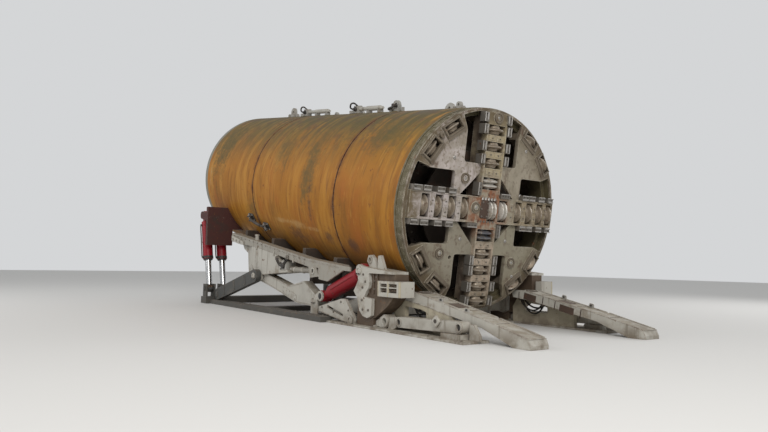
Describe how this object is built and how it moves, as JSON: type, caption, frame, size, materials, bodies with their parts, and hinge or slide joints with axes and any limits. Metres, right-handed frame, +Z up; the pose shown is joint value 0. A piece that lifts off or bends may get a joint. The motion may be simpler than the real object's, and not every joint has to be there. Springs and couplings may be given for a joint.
{
  "type": "tunnel boring machine on a tilting launch cradle",
  "caption": "Hard rock shield machine with a cross-armed disc cutterhead, standing nose down on a hydraulic tilting launch cradle with front ramps.",
  "frame": {"origin": "on the ground at the middle of the bounding box", "axes": "+X towards the cutterhead and ramps, +Z up, +Y to the left-hand side of a driver facing +X"},
  "size_m": [13.8882, 5, 6.2313],
  "materials": {
    "shield_paint": "worn ochre paint with rust and grime",
    "seam_steel": "dark greased steel",
    "inner_steel": "dull grey paint",
    "head_paint": "chalky cream paint rubbed to steel",
    "cutter_steel": "bare worn steel",
    "cradle_paint": "dusty off-white paint",
    "red_paint": "deep red enamel",
    "rod_chrome": "hard chrome",
    "dark_paint": "dark grey paint",
    "drum_iron": "brown rusted casting",
    "lug_paint": "pale paint"
  },
  "bodies": {
    "base": {"base_skids": "dark_paint", "trunnion_seats": "drum_iron", "slot_brackets": "cradle_paint", "front_links": "cradle_paint", "front_feet": "cradle_paint", "ramps": "cradle_paint", "front_brackets": "cradle_paint", "rear_beam": "dark_paint"},
    "machine": {"front_shell": "shield_paint", "middle_shell": "shield_paint", "tail_shell": "shield_paint", "seam_rings": "seam_steel", "rim_ring": "seam_steel", "bulkhead": "inner_steel", "main_drive": "inner_steel", "thrust_ring": "inner_steel", "thrust_barrels": "red_paint", "shield_lugs": "lug_paint", "cradle_rails": "cradle_paint", "cradle_saddles": "cradle_paint", "upper_plates": "cradle_paint", "rockers": "cradle_paint", "drums": "drum_iron", "rear_brackets": "red_paint"},
    "thrust": {"thrust_rods": "rod_chrome"},
    "cutterhead": {"head_arms": "head_paint", "head_panels": "head_paint", "head_rim": "head_paint", "head_back": "inner_steel", "head_scrapers": "cutter_steel", "head_bosses": "head_paint", "gauge_boxes": "head_paint", "cutter_shafts": "cutter_steel"},
    "top_row": {"top_discs": "cutter_steel"},
    "left_row": {"left_discs": "cutter_steel"},
    "bottom_row": {"bottom_discs": "cutter_steel"},
    "right_row": {"right_discs": "cutter_steel"},
    "centre_pair": {"centre_discs": "cutter_steel"},
    "main_link": {"main_links": "cradle_paint"},
    "rear_leg": {"rear_legs": "dark_paint"},
    "lift_barrel": {"lift_barrels": "red_paint"},
    "lift_rod": {"lift_rods": "rod_chrome"},
    "front_barrel": {"front_barrels": "red_paint"},
    "front_rod": {"front_rods": "red_paint"},
    "gauge_1": {"gauge_disc_1": "cutter_steel"},
    "gauge_2": {"gauge_disc_2": "cutter_steel"},
    "gauge_3": {"gauge_disc_3": "cutter_steel"},
    "gauge_4": {"gauge_disc_4": "cutter_steel"},
    "gauge_5": {"gauge_disc_5": "cutter_steel"},
    "gauge_6": {"gauge_disc_6": "cutter_steel"},
    "gauge_7": {"gauge_disc_7": "cutter_steel"},
    "gauge_8": {"gauge_disc_8": "cutter_steel"}
  },
  "joints": [
    {"name": "cradle_tilt", "type": "hinge", "parent": "base", "child": "machine", "pos_m": [2.94406, 0, 0.45], "axis": [0, 1, 0], "range_deg": [-4.5, 1.5]},
    {"name": "cutterhead_turn", "type": "hinge", "parent": "machine", "child": "cutterhead", "pos_m": [4.19406, 0, 2.42], "axis": [0.988, 0, -0.1547], "continuous": true},
    {"name": "top_discs_turn", "type": "hinge", "parent": "cutterhead", "child": "top_row", "pos_m": [4.27797, 0, 3.31783], "axis": [0.1547, 0, 0.988], "continuous": true},
    {"name": "left_discs_turn", "type": "hinge", "parent": "cutterhead", "child": "left_row", "pos_m": [4.13873, -0.9, 2.42866], "axis": [0, -1, 0], "continuous": true},
    {"name": "bottom_discs_turn", "type": "hinge", "parent": "cutterhead", "child": "bottom_row", "pos_m": [3.99949, 0, 1.5395], "axis": [-0.1547, 0, -0.988], "continuous": true},
    {"name": "right_discs_turn", "type": "hinge", "parent": "cutterhead", "child": "right_row", "pos_m": [4.13873, 0.9, 2.42866], "axis": [0, 1, 0], "continuous": true},
    {"name": "centre_discs_turn", "type": "hinge", "parent": "cutterhead", "child": "centre_pair", "pos_m": [4.13873, 0.265, 2.42866], "axis": [0, 1, 0], "continuous": true},
    {"name": "gauge_1_turn", "type": "hinge", "parent": "cutterhead", "child": "gauge_1", "pos_m": [4.28549, -1.07546, 3.96031], "axis": [-0.2188, -0.539, 0.8134], "continuous": true},
    {"name": "gauge_2_turn", "type": "hinge", "parent": "cutterhead", "child": "gauge_2", "pos_m": [4.21425, -1.53591, 3.5054], "axis": [-0.2545, -0.7698, 0.5854], "continuous": true},
    {"name": "gauge_3_turn", "type": "hinge", "parent": "cutterhead", "child": "gauge_3", "pos_m": [3.88148, -1.53591, 1.38039], "axis": [-0.4213, -0.7698, -0.4796], "continuous": true},
    {"name": "gauge_4_turn", "type": "hinge", "parent": "cutterhead", "child": "gauge_4", "pos_m": [3.81024, -1.07546, 0.92548], "axis": [-0.457, -0.539, -0.7076], "continuous": true},
    {"name": "gauge_5_turn", "type": "hinge", "parent": "cutterhead", "child": "gauge_5", "pos_m": [3.81024, 1.07546, 0.92548], "axis": [-0.457, 0.539, -0.7076], "continuous": true},
    {"name": "gauge_6_turn", "type": "hinge", "parent": "cutterhead", "child": "gauge_6", "pos_m": [3.88148, 1.53591, 1.38039], "axis": [-0.4213, 0.7698, -0.4796], "continuous": true},
    {"name": "gauge_7_turn", "type": "hinge", "parent": "cutterhead", "child": "gauge_7", "pos_m": [4.21425, 1.53591, 3.5054], "axis": [-0.2545, 0.7698, 0.5854], "continuous": true},
    {"name": "gauge_8_turn", "type": "hinge", "parent": "cutterhead", "child": "gauge_8", "pos_m": [4.28549, 1.07546, 3.96031], "axis": [-0.2188, 0.539, 0.8134], "continuous": true},
    {"name": "thrust_stroke", "type": "slide", "parent": "machine", "child": "thrust", "axis": [-0.988, 0, 0.1547], "range_m": [-0.6, 0.9]},
    {"name": "main_link_swing", "type": "hinge", "parent": "base", "child": "main_link", "pos_m": [0.75406, 0, 0.43], "axis": [0, 1, 0], "range_deg": [-8.01, 2.8]},
    {"name": "rear_leg_swing", "type": "hinge", "parent": "machine", "child": "rear_leg", "pos_m": [-2.22594, 0, 0.905], "axis": [0, 1, 0], "range_deg": [-4.64, 13.51]},
    {"name": "lift_barrel_swing", "type": "hinge", "parent": "machine", "child": "lift_barrel", "pos_m": [-5.80594, 0, 2.7], "axis": [0, 1, 0], "range_deg": [-3.81, 1.4]},
    {"name": "lift_rod_slide", "type": "slide", "parent": "lift_barrel", "child": "lift_rod", "axis": [0.2252, 0, -0.9743], "range_m": [-0.63978, 0.21993]},
    {"name": "front_barrel_swing", "type": "hinge", "parent": "machine", "child": "front_barrel", "pos_m": [2.73406, 0, 1.14], "axis": [0, 1, 0], "range_deg": [-1.67, 4.62]},
    {"name": "front_rod_slide", "type": "slide", "parent": "front_barrel", "child": "front_rod", "axis": [-0.9419, 0, -0.336], "range_m": [-0.06158, 0.02386]}
  ],
  "couplings": [
    {"joint": "main_link_swing", "follows": "cradle_tilt", "ratio": 1.7349},
    {"joint": "rear_leg_swing", "follows": "cradle_tilt", "ratio": -2.9583},
    {"joint": "lift_barrel_swing", "follows": "cradle_tilt", "ratio": 0.80249},
    {"joint": "lift_rod_slide", "follows": "cradle_tilt", "m_per_rad": 8.0186},
    {"joint": "front_barrel_swing", "follows": "cradle_tilt", "ratio": -0.98125},
    {"joint": "front_rod_slide", "follows": "cradle_tilt", "m_per_rad": 0.72045}
  ]
}
